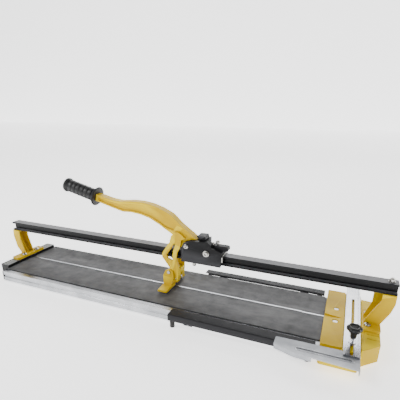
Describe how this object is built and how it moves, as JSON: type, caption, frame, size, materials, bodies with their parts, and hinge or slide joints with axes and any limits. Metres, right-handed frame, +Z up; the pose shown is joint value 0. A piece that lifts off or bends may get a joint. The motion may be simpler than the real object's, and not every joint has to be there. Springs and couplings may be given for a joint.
{
  "type": "tile cutter",
  "caption": "Manual tile cutter: padded bed with a centre rib, guide rail on cast columns, sliding carriage with a breaking lever and scoring wheel, side supports and a sliding fence.",
  "frame": {"origin": "centre of the footprint on the ground", "axes": "+X along the rail towards the fence end, +Y towards the back, +Z up"},
  "size_m": [1.207, 0.38, 0.3413],
  "materials": {
    "bed_aluminium": "mill extrusion, satin",
    "pad_rubber": "matt ribbed rubber sheet",
    "black_bar": "black anodised, satin",
    "scale_strip": "grey printed strip",
    "black_plastic": "moulded",
    "foot_rubber": "matt",
    "yellow_casting": "powder coat on a die casting",
    "zinc_steel": "zinc plated",
    "ruler_aluminium": "bright extrusion",
    "arm_sheet": "brushed sheet",
    "ground_steel": "ground",
    "brass_part": "turned",
    "grey_casting": "dark grey powder coat",
    "grip_rubber": "moulded, ribbed"
  },
  "bodies": {
    "base": {"table_profile": "bed_aluminium", "front_pad": "pad_rubber", "rear_pad": "pad_rubber", "breaking_rib": "bed_aluminium", "rib_end_piece": "bed_aluminium", "end_stop_bar": "black_bar", "stop_scale_strips": "scale_strip", "side_rail_caps": "black_plastic", "end_bar_bolts": "zinc_steel", "rubber_feet": "foot_rubber", "extension_guides": "black_plastic", "left_column": "yellow_casting", "right_column": "yellow_casting", "guide_rail": "black_bar", "rail_bolts": "zinc_steel", "rail_nut": "zinc_steel", "left_column_bolts": "zinc_steel", "right_column_bolts": "zinc_steel", "right_base": "yellow_casting", "block_screws": "zinc_steel", "clamp_nut": "brass_part"},
    "fence": {"fence_ruler": "ruler_aluminium", "fence_arm": "arm_sheet", "fence_rivets": "ruler_aluminium"},
    "knob": {"clamp_knob": "black_plastic", "clamp_stud": "ground_steel", "clamp_washer": "ground_steel"},
    "front_extension": {"front_extension_bar": "grey_casting", "front_guide_rods": "ground_steel", "front_rod_blocks": "grey_casting", "front_extension_legs": "foot_rubber"},
    "rear_extension": {"rear_extension_bar": "grey_casting", "rear_guide_rods": "ground_steel", "rear_rod_blocks": "grey_casting", "rear_extension_legs": "foot_rubber"},
    "carriage": {"carriage_housing": "grey_casting", "rail_lug": "grey_casting", "lever_pivot_bolt": "zinc_steel", "pivot_nut": "zinc_steel", "carriage_clamp_bolt": "zinc_steel", "hood_screws": "zinc_steel", "bottom_screw": "zinc_steel", "roller_axles": "ground_steel", "rail_wiper": "zinc_steel"},
    "roller_front_left": {"front_left_roller": "ground_steel"},
    "roller_rear_left": {"rear_left_roller": "ground_steel"},
    "roller_front_right": {"front_right_roller": "ground_steel"},
    "roller_rear_right": {"rear_right_roller": "ground_steel"},
    "lever": {"lever_arm": "yellow_casting", "handle_tang": "ground_steel", "handle_grip": "grip_rubber", "pivot_bush": "brass_part", "wheel_axle": "ground_steel", "foot_pin": "zinc_steel"},
    "wheel": {"scoring_wheel": "ground_steel"},
    "foot": {"breaker_foot": "yellow_casting"}
  },
  "joints": [
    {"name": "carriage_slide", "type": "slide", "parent": "base", "child": "carriage", "axis": [1, 0, 0], "range_m": [-0.495, 0.38]},
    {"name": "lever_press", "type": "hinge", "parent": "carriage", "child": "lever", "pos_m": [0.071, 0, 0.185], "axis": [0, -1, 0], "range_deg": [-20, 2]},
    {"name": "wheel_spin", "type": "hinge", "parent": "lever", "child": "wheel", "pos_m": [0.035, 0, 0.076], "axis": [0, 1, 0], "continuous": true},
    {"name": "foot_tilt", "type": "hinge", "parent": "lever", "child": "foot", "pos_m": [0.016, 0, 0.098], "axis": [0, 1, 0], "range_deg": [-5, 5]},
    {"name": "fence_slide", "type": "slide", "parent": "base", "child": "fence", "axis": [0, -1, 0], "range_m": [0, 0.07]},
    {"name": "front_extension_slide", "type": "slide", "parent": "base", "child": "front_extension", "axis": [0, -1, 0], "range_m": [0, 0.07]},
    {"name": "rear_extension_slide", "type": "slide", "parent": "base", "child": "rear_extension", "axis": [0, 1, 0], "range_m": [0, 0.07]},
    {"name": "knob_turn", "type": "hinge", "parent": "base", "child": "knob", "pos_m": [0.5205, -0.1, 0.08], "axis": [0, 0, 1], "range_deg": [0, 360]},
    {"name": "roller_front_left_spin", "type": "hinge", "parent": "carriage", "child": "roller_front_left", "pos_m": [0.084, -0.0085, 0.155], "axis": [0, 1, 0], "continuous": true},
    {"name": "roller_rear_left_spin", "type": "hinge", "parent": "carriage", "child": "roller_rear_left", "pos_m": [0.084, 0.0085, 0.155], "axis": [0, 1, 0], "continuous": true},
    {"name": "roller_front_right_spin", "type": "hinge", "parent": "carriage", "child": "roller_front_right", "pos_m": [0.15, -0.0085, 0.155], "axis": [0, 1, 0], "continuous": true},
    {"name": "roller_rear_right_spin", "type": "hinge", "parent": "carriage", "child": "roller_rear_right", "pos_m": [0.15, 0.0085, 0.155], "axis": [0, 1, 0], "continuous": true}
  ],
  "couplings": [
    {"joint": "front_extension_slide", "follows": "fence_slide", "ratio": 1},
    {"joint": "roller_front_left_spin", "follows": "carriage_slide", "rad_per_m": 113.64},
    {"joint": "roller_rear_left_spin", "follows": "carriage_slide", "rad_per_m": 113.64},
    {"joint": "roller_front_right_spin", "follows": "carriage_slide", "rad_per_m": 113.64},
    {"joint": "roller_rear_right_spin", "follows": "carriage_slide", "rad_per_m": 113.64}
  ]
}
